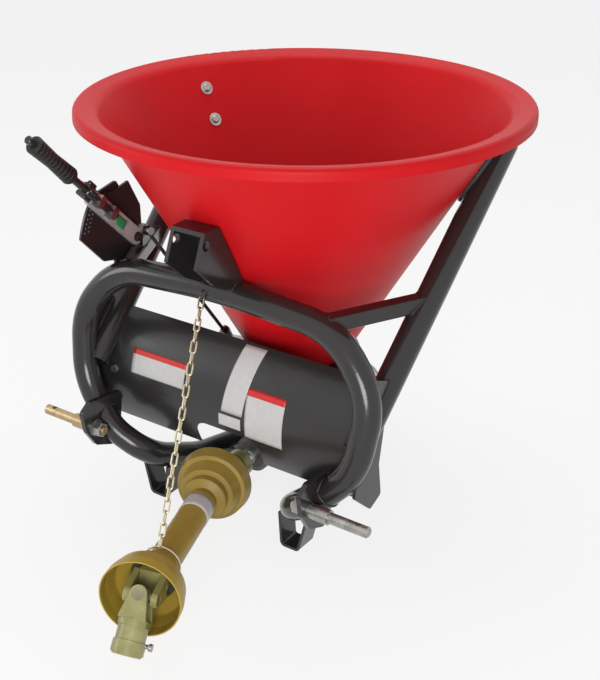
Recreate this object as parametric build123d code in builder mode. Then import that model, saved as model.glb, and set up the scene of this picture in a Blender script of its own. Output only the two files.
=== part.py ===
# Three-point fertilizer spreader: poly cone hopper on a bent tube frame, shaft-driven spinner below.
# Millimetres. X is across the machine, -Y points to the tractor, Z is up from the floor.
import os
from math import atan, cos, degrees, radians, sin
from build123d import *

os.makedirs("parts", exist_ok=True)

# Overall layout
axis_y = 185.2             # hopper axis, so that the box around the machine is centred on Y = 0
rim_z = 827.0
rim_r = 443.0
lip_width = 33.0
cone_top_r = rim_r - lip_width     # outer radius the cone would have at the rim
tube_r = 27.0
tube_wall = 3.5
weld_plate = 6.0
running_fit = 0.05

# Hopper
cone_slope = 0.577         # radius gained per millimetre up
hopper_wall = 5.0
floor_z = 290.0            # top of the steel floor plate, on which the hopper stands
floor_hole_r = 78.0
foot_bolt_x = 23.0
foot_bolt_y = 82.0
bolt_turn = 21.7           # hopper bolts, degrees behind the X axis
bolt_z = (707.0, 767.0)
bolt_r = 5.0

# Hoop, leaning forward from the arch down to the lugs
arch_z = 524.0
arch_y = axis_y - 267.0
hoop_lean = 0.172
leg_end_z = 165.0
leg_end_x = 255.0
shoulder_half = 350.0

# Hitch, category 1
lug_x = 271.0
lug_thick = 10.0
lower_pin_y = axis_y - 370.0
lower_pin_z = 182.0
lower_pin_r = 11.05
lower_pin_tip = 405.0
lower_pin_shoulder = 320.0
lower_pin_collar_r = 15.0
linch_hole_r = 5.6
top_pin_hole_r = 9.75
clevis_y = axis_y - 362.0
clevis_z = 648.0
clevis_half_gap = 30.0
clevis_plate = 8.0

# Base loop
base_z = 58.0
base_half = 118.0
base_back_y = axis_y + 200.0

# Gearbox and its shafts
input_z = 112.0
gear_teeth = 12
gear_pitch_r = 30.0
gear_face = 12.0
output_r = 12.5
input_r = 17.4
box_half = 60.0
box_front_y = axis_y - 92.0
box_back_y = axis_y + 55.0
box_low_z = 62.0
box_high_z = 160.0
box_wall = 8.0
neck_r = 40.0
neck_end_y = axis_y - 172.0
bearing_width = 15.0
input_bearing_r = 31.0
output_bearing_r = 26.0

# Spinner and gate
spinner_z = 212.0
spinner_r = 182.0
disc_thick = 3.0
fin_height = 28.0
floor_thick = 5.0
gate_thick = 4.0
gate_half = 66.0
port_y = 40.0
gate_travel = 39.0
port_length = 37.0
port_width = 32.0

# Shield, a rolled sheet in front of the spinner
shield_half = 338.0
shield_y = axis_y - 80.0
shield_z = 242.0
shield_r = 186.0
shield_thick = 3.0
shield_low = -30.0
shield_high = 52.0
notch_half = 82.0

# Side tubes
side_low = Vector(324.0, axis_y - 290.0, 291.0)
side_high = Vector(341.0, axis_y + 150.0, 720.0)

# Shut-off lever beside the left shoulder, on a rock shaft behind the arch
rock_y = axis_y - 190.0
rock_z = 546.0
lever_x = -272.0
lever_deg = 43.5
lever_sweep = 22.0
quadrant_r = 160.0
quadrant_x = -286.0

# Drive shaft hanging on its chain: swung aside and slightly raised
joint_y = axis_y - 300.0
swing_deg = 21.0
lift_deg = 5.0
shaft_length = 455.0       # between the two joint centres
front_fold = 50.0
guard_r = 30.0
bell_r = 76.0
guard_wall = 2.5
ear_gap = 20.0
ear_thick = 11.0
ear_r = 15.5
cap_r = 12.0
yoke_r = 27.0
spline_r = 17.4
spline_low_r = 14.9
spline_width = 8.7
link_length = 22.0
link_width = 14.0
link_wire_r = 1.9


def save(solid, name):
    solid.label = name
    export_step(solid, "parts/" + name + ".step")


def save_sides(right, name):
    save(right, name + "_right")
    save(mirror(right, about=Plane.YZ), name + "_left")


def save_both(right, name):
    # the same piece on both sides, as one group
    save(Compound(children=right.solids() + mirror(right, about=Plane.YZ).solids()), name)


def largest(solid):
    return Part(solid.solids().sort_by(SortBy.VOLUME)[-1].wrapped)


def hoop_point(x, z):
    return (x, arch_y - hoop_lean * (arch_z - z), z)


def bent_rod(points, bends, radius):
    # solid round bar along straight runs joined by bends
    with BuildPart(mode=Mode.PRIVATE) as rod:
        with BuildLine() as path:
            if len(points) > 2:
                FilletPolyline(*points, radius=bends)
            else:
                Line(*points)
        with BuildSketch(Plane(origin=path.line @ 0, z_dir=path.line % 0)):
            Circle(radius)
        sweep(path=path.line)
    return rod.part


# Hoop: one bent tube, its legs curving inward from the shoulders to the lugs
shoulder_z = 400.0
knee = Vector(*hoop_point(336.0, 255.0))
leg_end = Vector(*hoop_point(leg_end_x, leg_end_z))
join = leg_end + (knee - leg_end) * 0.36
right_side = [hoop_point(260, 508), hoop_point(shoulder_half, shoulder_z), tuple(knee), tuple(join)]
left_side = [(-x, y, z) for x, y, z in reversed(right_side)]
hoop_points = left_side + [hoop_point(0, arch_z)] + right_side
hoop_bends = [150, 140, 160, 1500, 160, 140, 150]
hoop_solid = bent_rod(hoop_points, hoop_bends, tube_r)
front_hoop = hoop_solid - bent_rod(hoop_points, hoop_bends, tube_r - tube_wall)
save(front_hoop, "front_hoop")

# Base loop: carries the legs' curve on inward and back, under the gearbox and round
side_run = [tuple(join), tuple(leg_end), (178, axis_y - 300, base_z + 52), (150, axis_y - 165, base_z),
            (base_half, axis_y - 20, base_z - 10), (base_half, base_back_y, tube_r)]
other_run = [(-x, y, z) for x, y, z in reversed(side_run)]
loop_points = side_run + other_run
loop_bends = [120, 110, 200, 100, 100, 100, 100, 200, 110, 120]
loop_solid = bent_rod(loop_points, loop_bends, tube_r)
base_loop = loop_solid - bent_rod(loop_points, loop_bends, tube_r - tube_wall)
save(base_loop, "base_loop")

# Hopper bracket: flat plate on the slope of the cone, bolted through the wall
slope_deg = degrees(atan(cone_slope))
bolt_mid_z = (bolt_z[0] + bolt_z[1]) / 2
bolt_mid_r = cone_top_r + cone_slope * (bolt_mid_z - rim_z)
bolt_dir = Vector(cos(radians(bolt_turn)), sin(radians(bolt_turn)), 0)
slope_dir = Vector(bolt_dir.X * sin(radians(slope_deg)), bolt_dir.Y * sin(radians(slope_deg)),
                   cos(radians(slope_deg)))
slope_out = Vector(bolt_dir.X * cos(radians(slope_deg)), bolt_dir.Y * cos(radians(slope_deg)),
                   -sin(radians(slope_deg)))
bracket_plane = Plane(origin=Vector(0, axis_y, bolt_mid_z) + bolt_dir * bolt_mid_r,
                      x_dir=slope_dir, z_dir=slope_out)
bolt_pitch = (bolt_z[1] - bolt_z[0]) / cos(radians(slope_deg))
with BuildPart() as hopper_bracket:
    with BuildSketch(bracket_plane.offset(0.3)):
        with Locations((-20, 0)):
            RectangleRounded(150, 62, 12)
        with Locations((-bolt_pitch / 2, 0), (bolt_pitch / 2, 0)):
            Circle(bolt_r + 0.5, mode=Mode.SUBTRACT)
    extrude(amount=weld_plate)
save_both(hopper_bracket.part, "hopper_brackets")

# Side tube: from the hoop leg up to the bracket, cut to lie on both
tube_end_z = 752.0
tube_stop = side_low + (side_high - side_low) * ((tube_end_z - side_low.Z) / (side_high.Z - side_low.Z))
side_solid = bent_rod([side_low, tube_stop], 0, tube_r)
bracket_side = Plane(origin=bracket_plane.origin, x_dir=slope_dir, z_dir=slope_out).offset(0.3 + weld_plate)
side_solid = split(side_solid, bisect_by=bracket_side, keep=Keep.TOP)
side_tube = side_solid - bent_rod([side_low, tube_stop], 0, tube_r - tube_wall) - hoop_solid
side_tube = side_tube.solids().sort_by(SortBy.VOLUME)[-1]
save_sides(Part(side_tube.wrapped), "side_tube")

# Brace: square tube from the arch to the side tube
brace_width = 30.0
brace_start = Vector(*hoop_point(236, 515))
brace_share = 0.515
brace_end = side_low + (side_high - side_low) * brace_share
with BuildPart() as brace:
    brace_plane = Plane(origin=brace_start, x_dir=(0, 0, 1), z_dir=brace_end - brace_start)
    with BuildSketch(brace_plane):
        RectangleRounded(brace_width, brace_width, 4)
        RectangleRounded(brace_width - 6, brace_width - 6, 2, mode=Mode.SUBTRACT)
    extrude(amount=(brace_end - brace_start).length)
brace_cut = brace.part - hoop_solid - side_solid
brace_cut = brace_cut.solids().sort_by(SortBy.VOLUME)[-1]
save_both(Part(brace_cut.wrapped), "braces")

# Shoulder gusset: plate between hoop and side tube
with BuildPart() as gusset:
    gusset_plane = Plane(origin=(338, axis_y, 0), x_dir=(0, 1, 0), z_dir=(1, 0, 0))
    with BuildSketch(gusset_plane):
        with BuildLine():
            Polyline((-300, 330), (-290, 440), (-176, 392), (-205, 360), close=True)
        make_face()
    extrude(amount=weld_plate / 2, both=True)
gusset_cut = gusset.part - hoop_solid - side_solid
gusset_cut = gusset_cut.solids().sort_by(SortBy.VOLUME)[-1]
save_both(Part(gusset_cut.wrapped), "gussets")

# Lug plate, welded to the leg, with the pin hole
with BuildPart() as lug_plate:
    lug_plane = Plane(origin=(lug_x, axis_y, 0), x_dir=(0, 1, 0), z_dir=(1, 0, 0))
    with BuildSketch(lug_plane):
        with BuildLine() as lug_line:
            Polyline((-378, 244), (-404, 226), (-395, 178), (-369, 138), (-318, 116), (-290, 150),
                     (-280, 232), close=True)
        make_face()
        fillet(lug_line.vertices(), 9)
    extrude(amount=lug_thick / 2, both=True)
    with BuildSketch(Plane(origin=(lug_x, lower_pin_y, lower_pin_z), z_dir=(1, 0, 0))):
        Circle(lower_pin_r - 2.0)
    extrude(amount=lug_thick, both=True, mode=Mode.SUBTRACT)
lug_cut = largest(lug_plate.part - hoop_solid - loop_solid)
save_both(lug_cut, "lug_plates")

# Lower hitch pin: collar against the lug, threaded tail through it, hole for the linchpin
lug_face = lug_x + lug_thick / 2
tail_r = lower_pin_r - 2.2
tail_end = lug_x - 34.0
with BuildPart() as lower_pin:
    with BuildSketch(Plane(origin=(lug_face, lower_pin_y, lower_pin_z), z_dir=(1, 0, 0))):
        Circle(lower_pin_collar_r)
    extrude(amount=lower_pin_shoulder - lug_face)
    with BuildSketch(Plane(origin=(lower_pin_shoulder, lower_pin_y, lower_pin_z), z_dir=(1, 0, 0))):
        Circle(lower_pin_r)
    extrude(amount=lower_pin_tip - lower_pin_shoulder)
    chamfer(lower_pin.faces().sort_by(Axis.X)[-1].edges(), 2.5)
    with BuildSketch(Plane(origin=(tail_end, lower_pin_y, lower_pin_z), z_dir=(1, 0, 0))):
        Circle(tail_r)
    extrude(amount=lug_face - tail_end)
    chamfer(lower_pin.faces().sort_by(Axis.X)[0].edges(), 1.0)
    with BuildSketch(Plane(origin=(lower_pin_tip - 24, lower_pin_y, lower_pin_z), z_dir=(0, 0, 1))):
        Circle(linch_hole_r)
    extrude(amount=lower_pin_r + 1, both=True, mode=Mode.SUBTRACT)
save_sides(lower_pin.part, "lower_pin")

# Pin nut with its spring washer, inboard of the lug
washer_thick = 5.0
nut_thick = 18.0
nut_seat = Plane(origin=(lug_x - lug_thick / 2, lower_pin_y, lower_pin_z), z_dir=(-1, 0, 0))
with BuildPart() as pin_nut:
    with BuildSketch(nut_seat):
        Circle(18.5)
        Circle(tail_r + running_fit, mode=Mode.SUBTRACT)
    extrude(amount=washer_thick)
    with BuildSketch(nut_seat.offset(washer_thick)):
        RegularPolygon(16.5, 6)
        Circle(tail_r + running_fit, mode=Mode.SUBTRACT)
    extrude(amount=nut_thick)
    chamfer(pin_nut.faces().sort_by(Axis.X)[0].outer_wire().edges(), 1.5)
save_both(pin_nut.part, "pin_nuts")

# Foot: bent strap under the base loop
foot_y = axis_y - 258.0
foot_depth = 50.0
with BuildPart() as foot:
    with BuildSketch(Plane(origin=(0, foot_y, 0), x_dir=(1, 0, 0), z_dir=(0, -1, 0))):
        with BuildLine():
            FilletPolyline((214, 92), (193, 3), (153, 3), (147, 80), radius=9)
        trace(line_width=6)
    extrude(amount=foot_depth / 2, both=True)
foot_cut = largest(foot.part - loop_solid)
save_both(foot_cut, "feet")

# Top-link clevis: a channel folded from plate, standing on the arch
clevis_half = clevis_half_gap + clevis_plate
with BuildPart() as top_clevis:
    with BuildSketch(Plane(origin=(0, axis_y, 0), x_dir=(0, 1, 0), z_dir=(1, 0, 0))):
        with BuildLine() as clevis_line:
            Polyline((-390, 611), (-364, 672), (-324, 672), (-279, 594), (-250, 540), (-276, 530),
                     (-342, 566), close=True)
        make_face()
        fillet(clevis_line.vertices().group_by(Axis.Y)[0], 8)
        fillet(clevis_line.vertices().group_by(Axis.Y)[-1], 8)
    extrude(amount=clevis_half, both=True)
    with BuildSketch(Plane(origin=(0, axis_y, 0), x_dir=(0, 1, 0), z_dir=(1, 0, 0))):
        with BuildLine():
            Polyline((-420, 500), (-420, 700), (-366, 664), (-328.5, 664), (-287, 590), (-256, 534),
                     (-240, 500), close=True)
        make_face()
    extrude(amount=clevis_half_gap, both=True, mode=Mode.SUBTRACT)
    with BuildSketch(Plane(origin=(0, clevis_y, clevis_z), z_dir=(1, 0, 0))):
        Circle(top_pin_hole_r)
    extrude(amount=clevis_half + 1, both=True, mode=Mode.SUBTRACT)
top_clevis_cut = (top_clevis.part - hoop_solid)
save(largest(top_clevis_cut), "top_clevis")

# Hopper: moulded cone with a rolled lip and a flat foot ring, on the steel floor plate
foot_ring = hopper_wall
cone_mid = hopper_wall / 2
foot_mid_z = floor_z + foot_ring / 2
cone_low_r = cone_top_r + cone_slope * (floor_z - rim_z) - cone_mid
lip_r = rim_r - cone_mid
with BuildPart() as hopper:
    with BuildSketch(Plane.XZ.offset(-axis_y)):
        with BuildLine():
            FilletPolyline((floor_hole_r, foot_mid_z), (cone_low_r, foot_mid_z), (cone_top_r - 9, rim_z - 9),
                           (lip_r, rim_z - 1), (lip_r + 1, rim_z - 22), radius=(7, 22, 7))
        trace(line_width=hopper_wall)
    revolve(axis=Axis((0, axis_y, 0), (0, 0, 1)))
    for z in bolt_z:
        for side in (1, -1):
            wall_r = cone_top_r + cone_slope * (z - rim_z)
            hole_at = Vector(side * bolt_dir.X * wall_r, axis_y + bolt_dir.Y * wall_r, z)
            with BuildSketch(Plane(origin=hole_at, z_dir=(side * slope_out.X, slope_out.Y, slope_out.Z))):
                Circle(bolt_r + 0.5)
            extrude(amount=hopper_wall + 3, both=True, mode=Mode.SUBTRACT)
    with BuildSketch(Plane(origin=(0, axis_y, floor_z))):
        with GridLocations(2 * foot_bolt_x, 2 * foot_bolt_y, 2, 2):
            Circle(4.5)
    extrude(amount=foot_ring, mode=Mode.SUBTRACT)
save(hopper.part, "hopper")

# Hopper bolts: round head and wide washer inside, nut and washer behind the bracket
washer_r = 14.0
head_r = 8.5
washer_seat = hopper_wall + 1.5
inner_washer_thick = 1.8
with BuildPart() as hopper_bolts:
    for offset in (-bolt_pitch / 2, bolt_pitch / 2):
        inside = Plane(origin=bracket_plane.origin + slope_dir * offset, x_dir=slope_dir, z_dir=slope_out)
        with BuildSketch(inside.offset(-washer_seat)):
            Circle(washer_r)
        extrude(amount=-inner_washer_thick)
        with BuildSketch(inside.offset(-washer_seat - inner_washer_thick)):
            Circle(head_r)
        extrude(amount=-4.5)
        with BuildSketch(inside.offset(-washer_seat)):
            Circle(bolt_r)
        extrude(amount=washer_seat + weld_plate + 13)
        with BuildSketch(inside.offset(0.3 + weld_plate)):
            Circle(washer_r - 3)
        extrude(amount=1.6)
        with BuildSketch(inside.offset(0.3 + weld_plate + 1.6)):
            RegularPolygon(8.5, 6)
        extrude(amount=7.5)
    heads = hopper_bolts.faces().filter_by(GeomType.PLANE).group_by(Axis(inside.origin, slope_out))[0]
    chamfer(heads.edges(), 2.2)
hopper_bolts_cut = hopper_bolts.part - hopper.part - side_solid
save_both(Compound(children=hopper_bolts_cut.solids().sort_by(SortBy.VOLUME)[-2:]), "hopper_bolts")

# Floor plate under the hopper, on a cross bar behind the shield
floor_front_y = axis_y - 256.0
floor_back_y = axis_y + 122.0
floor_half = 128.0
port_plane = Plane(origin=(0, axis_y, floor_z))
with BuildPart() as floor_plate:
    with BuildSketch(port_plane):
        with BuildLine() as floor_line:
            Polyline((-floor_half, floor_front_y - axis_y), (floor_half, floor_front_y - axis_y),
                     (floor_half, 60), (72, floor_back_y - axis_y), (-72, floor_back_y - axis_y),
                     (-floor_half, 60), close=True)
        make_face()
        fillet(floor_line.vertices().group_by(Axis.Y)[1:], 14)
        Circle(output_r + 2.5, mode=Mode.SUBTRACT)
        with Locations((0, port_y), (0, -port_y)):
            SlotOverall(port_length, port_width, mode=Mode.SUBTRACT)
        with GridLocations(2 * foot_bolt_x, 2 * foot_bolt_y, 2, 2):
            Circle(4.5, mode=Mode.SUBTRACT)
    extrude(amount=-floor_thick)
save(floor_plate.part, "floor_plate")

bar_width = 28.0
bar_y = floor_front_y + bar_width / 2
bar_z = floor_z - floor_thick - bar_width / 2
with BuildPart() as cross_bar:
    with BuildSketch(Plane(origin=(0, bar_y, bar_z), z_dir=(1, 0, 0))):
        RectangleRounded(bar_width, bar_width, 4)
        RectangleRounded(bar_width - 6, bar_width - 6, 2, mode=Mode.SUBTRACT)
    extrude(amount=shield_half, both=True)
cross_bar_cut = largest(cross_bar.part - hoop_solid)
save(cross_bar_cut, "cross_bar")

# Bolts that hold the hopper's foot ring down
with BuildPart() as floor_bolts:
    with BuildSketch(port_plane.offset(foot_ring)):
        with GridLocations(2 * foot_bolt_x, 2 * foot_bolt_y, 2, 2):
            Circle(7.5)
    extrude(amount=4)
    with BuildSketch(port_plane.offset(foot_ring)):
        with GridLocations(2 * foot_bolt_x, 2 * foot_bolt_y, 2, 2):
            Circle(4)
    extrude(amount=-foot_ring - floor_thick - 10)
    with BuildSketch(port_plane.offset(-floor_thick)):
        with GridLocations(2 * foot_bolt_x, 2 * foot_bolt_y, 2, 2):
            RegularPolygon(7.5, 6)
    extrude(amount=-6)

# Sliding gate under the floor plate, with its tongue out to the left
gate_top = floor_z - floor_thick - 0.3
gate_tongue = (-178.0, axis_y - 30.0)
with BuildPart() as gate:
    with BuildSketch(Plane(origin=(0, axis_y, gate_top))):
        with Locations(((gate_travel + 20) / 2, 0)):
            RectangleRounded(gate_travel + 140, 2 * gate_half, 8)
        with BuildLine():
            Polyline((-50, -50), (gate_tongue[0] - 14, -44), (gate_tongue[0] - 14, -16), (-50, 20),
                     close=True)
        make_face()
        with Locations((gate_travel / 2, 0)):
            SlotCenterToCenter(gate_travel + 4, 2 * output_r + 5, mode=Mode.SUBTRACT)
        with Locations((gate_travel, port_y), (gate_travel, -port_y)):
            SlotOverall(port_length, port_width, mode=Mode.SUBTRACT)
    extrude(amount=-gate_thick)
    with BuildSketch(Plane(origin=(gate_tongue[0], gate_tongue[1], gate_top - gate_thick))):
        Rectangle(22, 28)
    extrude(amount=gate_thick)

# Gate rails, under the floor plate
rail_gap = 0.5
with BuildPart() as gate_rail:
    with BuildSketch(Plane(origin=(-60, axis_y, 0), z_dir=(1, 0, 0), x_dir=(0, 1, 0))):
        with BuildLine():
            low = gate_top - gate_thick - rail_gap
            inner = gate_half + rail_gap
            Polyline((inner, floor_z - floor_thick), (inner, low), (inner - 10, low), (inner - 10, low - 3),
                     (inner + 4, low - 3), (inner + 4, floor_z - floor_thick), close=True)
        make_face()
    extrude(amount=170)
other_rail = mirror(gate_rail.part, about=Plane.XZ.offset(-axis_y))
save(Compound(children=[gate_rail.part, other_rail]), "gate_rails")

# Shield: rolled sheet from leg to leg, notched for the drive shaft
notch_z = 211.0
with BuildPart() as shield:
    with BuildSketch(Plane(origin=(0, shield_y, shield_z), x_dir=(0, -1, 0), z_dir=(1, 0, 0))):
        with BuildLine():
            CenterArc((0, 0), shield_r - shield_thick / 2, -shield_high, shield_high - shield_low)
        trace(line_width=shield_thick)
    extrude(amount=shield_half, both=True)
    with BuildSketch(Plane(origin=(0, shield_y, 0), z_dir=(0, -1, 0), x_dir=(1, 0, 0))):
        with Locations((0, notch_z - 60)):
            RectangleRounded(2 * notch_half, 120, 30)
        with Locations((0, notch_z - 100)):
            Rectangle(2 * notch_half, 120)
    extrude(amount=shield_r + 20, mode=Mode.SUBTRACT)
shield_cut = largest(shield.part - hoop_solid - side_solid - mirror(side_solid, about=Plane.YZ))
save(shield_cut, "shield")

# Shield bracket: end plate between the leg and the end of the shield
with BuildPart() as shield_bracket:
    with BuildSketch(Plane(origin=(shield_half, axis_y, 0), x_dir=(0, 1, 0), z_dir=(1, 0, 0))) as end_face:
        with BuildLine():
            Polyline((-322, 205), (-294, 392), (-212, 384), (-226, 322), (-238, 242), (-224, 168),
                     (-262, 152), close=True)
        make_face()
        fillet(end_face.vertices(), 8)
    extrude(amount=weld_plate)
shield_bracket_cut = largest(shield_bracket.part - hoop_solid - side_solid - gusset_cut)
save_both(shield_bracket_cut, "shield_brackets")
with BuildPart() as shield_bolts:
    for turn in (-14, 8):
        out = Vector(0, -cos(radians(turn)), sin(radians(turn)))
        at = Vector(shield_half - 42, shield_y, shield_z) + out * shield_r
        with BuildSketch(Plane(origin=at, z_dir=out)):
            Circle(9)
        extrude(amount=1.6)
        with BuildSketch(Plane(origin=at + out * 1.6, z_dir=out)):
            RegularPolygon(7.5, 6)
        extrude(amount=5.5)

# Gearbox mount: plate welded across the base tubes
mount_front = -104.0
mount_back = 78.0
with BuildPart() as gearbox_mount:
    with BuildSketch(Plane(origin=(0, axis_y, box_low_z - 8))):
        with Locations((0, (mount_front + mount_back) / 2)):
            Rectangle(2 * base_half + 20, mount_back - mount_front)
        with GridLocations(2 * box_half + 24, 110, 2, 2):
            Circle(5.5, mode=Mode.SUBTRACT)
    extrude(amount=8)
mount_cut = (gearbox_mount.part - loop_solid).solids().sort_by(Axis.X)
mount_cut = sorted(mount_cut, key=lambda body: body.volume)[-1]
save(Part(mount_cut.wrapped), "gearbox_mount")

# Gearbox housing: hollow casting with a long snout for the input shaft
box_mid_z = (box_low_z + box_high_z) / 2
box_height = box_high_z - box_low_z
box_depth = box_back_y - box_front_y
box_mid_y = (box_back_y + box_front_y) / 2
top_boss_z = 184.0
foot_flange = 10.0
cover_hole_r = 31.0
cover_r = 39.5
with BuildPart() as gearbox:
    with BuildSketch(Plane(origin=(0, box_mid_y, box_low_z))):
        RectangleRounded(2 * box_half, box_depth, 18)
    extrude(amount=box_height)
    fillet(gearbox.faces().sort_by(Axis.Z)[-1].edges(), 10)
    with BuildSketch(Plane(origin=(0, axis_y, box_low_z))):
        with Locations((0, 0)):
            RectangleRounded(2 * box_half + 44, 136, 12)
    extrude(amount=foot_flange)
    with BuildSketch(Plane(origin=(0, axis_y, box_mid_z))):
        with Locations((0, box_mid_y - axis_y)):
            Rectangle(2 * box_half - 2 * box_wall, box_depth - 2 * box_wall)
    extrude(amount=box_height / 2 - box_wall, both=True, mode=Mode.SUBTRACT)
    with BuildSketch(Plane(origin=(0, axis_y - 52, input_z), z_dir=(0, -1, 0))):
        Circle(neck_r)
    extrude(amount=axis_y - 52 - neck_end_y, taper=0)
    with BuildSketch(Plane(origin=(0, axis_y, top_boss_z))):
        Circle(output_bearing_r + 9)
    extrude(amount=-(top_boss_z - box_high_z + 14))
    with BuildSketch(Plane(origin=(0, axis_y, box_low_z))):
        Circle(output_bearing_r + 6)
    extrude(amount=bearing_width)
    with BuildSketch(Plane(origin=(0, axis_y - 52, input_z), z_dir=(0, -1, 0))):
        Circle(input_bearing_r)
    extrude(amount=axis_y - 52 - neck_end_y, mode=Mode.SUBTRACT)
    with BuildSketch(Plane(origin=(0, axis_y, top_boss_z))):
        Circle(output_bearing_r)
    extrude(amount=-60, mode=Mode.SUBTRACT)
    with BuildSketch(Plane(origin=(0, axis_y, box_low_z + 4))):
        Circle(output_bearing_r)
    extrude(amount=bearing_width, mode=Mode.SUBTRACT)
    with BuildSketch(Plane(origin=(0, box_back_y, input_z), z_dir=(0, -1, 0))):
        Circle(cover_hole_r)
    extrude(amount=box_wall, mode=Mode.SUBTRACT)
    with BuildSketch(Plane(origin=(0, axis_y, box_low_z))):
        with GridLocations(2 * box_half + 24, 110, 2, 2):
            Circle(5.5)
    extrude(amount=foot_flange, mode=Mode.SUBTRACT)
save(gearbox.part, "gearbox_housing")

# Bolts that hold the gearbox to its mount
with BuildPart() as gearbox_bolts:
    bolt_top = box_low_z + foot_flange
    bolt_low = box_low_z - 8
    with BuildSketch(Plane(origin=(0, axis_y, bolt_low - 8))):
        with GridLocations(2 * box_half + 24, 110, 2, 2):
            Circle(5)
    extrude(amount=bolt_top - bolt_low + 8)
    with BuildSketch(Plane(origin=(0, axis_y, bolt_top))):
        with GridLocations(2 * box_half + 24, 110, 2, 2):
            RegularPolygon(8.5, 6)
    extrude(amount=6.5)
    with BuildSketch(Plane(origin=(0, axis_y, bolt_low - 7))):
        with GridLocations(2 * box_half + 24, 110, 2, 2):
            RegularPolygon(8.5, 6)
    extrude(amount=7)

frame_bolts = gearbox_bolts.part.solids() + floor_bolts.part.solids() + shield_bolts.part.solids()
frame_bolts += mirror(shield_bolts.part, about=Plane.YZ).solids()
save(Compound(children=frame_bolts), "frame_bolts")

# Rear cover of the gearbox with its oil plug
with BuildPart() as gearbox_cover:
    with BuildSketch(Plane(origin=(0, box_back_y, input_z), z_dir=(0, 1, 0))):
        Circle(cover_r)
    extrude(amount=6)
    chamfer(gearbox_cover.faces().sort_by(Axis.Y)[-1].edges(), 1.5)
    with BuildSketch(Plane(origin=(0, box_back_y, input_z), z_dir=(0, -1, 0))):
        Circle(cover_hole_r - running_fit)
    extrude(amount=box_wall - 2)
    with BuildSketch(Plane(origin=(0, box_back_y + 6, input_z), z_dir=(0, 1, 0))):
        with PolarLocations((cover_r + cover_hole_r) / 2, 6, start_angle=30):
            RegularPolygon(3.8, 6)
        RegularPolygon(8, 6)
    extrude(amount=4)
save(gearbox_cover.part, "gearbox_cover")


def ring_bearing(plane, inner_r, outer_r):
    # two races with a ball groove on both faces
    with BuildPart(mode=Mode.PRIVATE) as bearing:
        with BuildSketch(plane):
            Circle(outer_r)
            Circle(inner_r, mode=Mode.SUBTRACT)
        extrude(amount=bearing_width)
        with BuildSketch(plane, plane.offset(bearing_width - 1.5)):
            Circle(outer_r - 4)
            Circle(inner_r + 4, mode=Mode.SUBTRACT)
        extrude(amount=1.5, mode=Mode.SUBTRACT)
    return bearing.part


input_axis = Plane(origin=(0, axis_y, input_z), x_dir=(1, 0, 0), z_dir=(0, -1, 0))
neck_length = axis_y - neck_end_y
input_bearing_back = ring_bearing(input_axis.offset(52), input_r + running_fit, input_bearing_r)
input_bearing_front = ring_bearing(input_axis.offset(neck_length - bearing_width - 4), input_r + running_fit,
                                   input_bearing_r)
output_axis = Plane(origin=(0, axis_y, 0))
output_bearing_low = ring_bearing(output_axis.offset(box_low_z + 4), output_r + running_fit, output_bearing_r)
output_bearing_high = ring_bearing(output_axis.offset(top_boss_z - bearing_width - 5), output_r + running_fit,
                                   output_bearing_r)
save(Compound(children=[input_bearing_back, input_bearing_front, output_bearing_low, output_bearing_high]),
     "bearings")

# Lip seals over both bearings
with BuildPart() as shaft_seals:
    with BuildSketch(input_axis.offset(neck_length - 4)):
        Circle(input_bearing_r)
        Circle(input_r + running_fit, mode=Mode.SUBTRACT)
    extrude(amount=4)
    with BuildSketch(output_axis.offset(top_boss_z - 5)):
        Circle(output_bearing_r)
        Circle(output_r + running_fit, mode=Mode.SUBTRACT)
    extrude(amount=5)
save(shaft_seals.part, "shaft_seals")


def bevel_gear(apex, bore_r, turn):
    # mitre gear on a cone with its tip at the plane's origin, teeth lofted towards that tip
    small = gear_pitch_r - gear_face
    root = 0.82
    with BuildPart(mode=Mode.PRIVATE) as tooth:
        for height in (small, gear_pitch_r):
            with BuildSketch(Plane.XY.offset(height)):
                Polygon((0.75 * height, -0.12 * height), (1.10 * height, -0.065 * height),
                        (1.10 * height, 0.065 * height), (0.75 * height, 0.12 * height), align=None)
        loft()
    with BuildPart(mode=Mode.PRIVATE) as gear:
        with BuildSketch(Plane.XZ):
            Polygon((bore_r, small), (small * root, small), (gear_pitch_r * root, gear_pitch_r),
                    (gear_pitch_r * root, gear_pitch_r + 3), (gear_pitch_r * root - 5, gear_pitch_r + 9),
                    (bore_r, gear_pitch_r + 9), align=None)
        revolve(axis=Axis.Z)
        with PolarLocations(0, gear_teeth, start_angle=turn):
            add(tooth.part)
    return apex * gear.part


gear_apex = Vector(0, axis_y, input_z)
crown_plane = Plane(origin=gear_apex, x_dir=(1, 0, 0), z_dir=(0, 0, 1))
pinion_plane = Plane(origin=gear_apex, x_dir=(1, 0, 0), z_dir=(0, -1, 0))
save(bevel_gear(crown_plane, output_r, 0), "crown_gear")
pinion_bore = 9.0
save(bevel_gear(pinion_plane, pinion_bore, 180 / gear_teeth), "pinion_gear")

# Input shaft: stepped, with six splines on its outer end
shaft_end_y = joint_y + 40.0
spline_count = 6
spline_start = joint_y + 112.0
with BuildPart() as input_shaft:
    with BuildSketch(input_axis.offset(gear_pitch_r - gear_face)):
        Circle(pinion_bore)
    extrude(amount=gear_face + 9)
    with BuildSketch(input_axis.offset(gear_pitch_r + 9)):
        Circle(input_r)
    extrude(amount=axis_y - shaft_end_y - gear_pitch_r - 9)
    chamfer(input_shaft.faces().sort_by(Axis.Y)[0].edges(), 2)
    with BuildSketch(input_axis.offset(axis_y - shaft_end_y)):
        with PolarLocations(spline_r, spline_count):
            Rectangle(2 * (spline_r - spline_low_r), spline_width)
    extrude(amount=-(spline_start - shaft_end_y), mode=Mode.SUBTRACT)
save(input_shaft.part, "input_shaft")

hub_pin_r = 4.0
finger_r = 4.0
agitator_z = floor_z + 26.0

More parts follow.
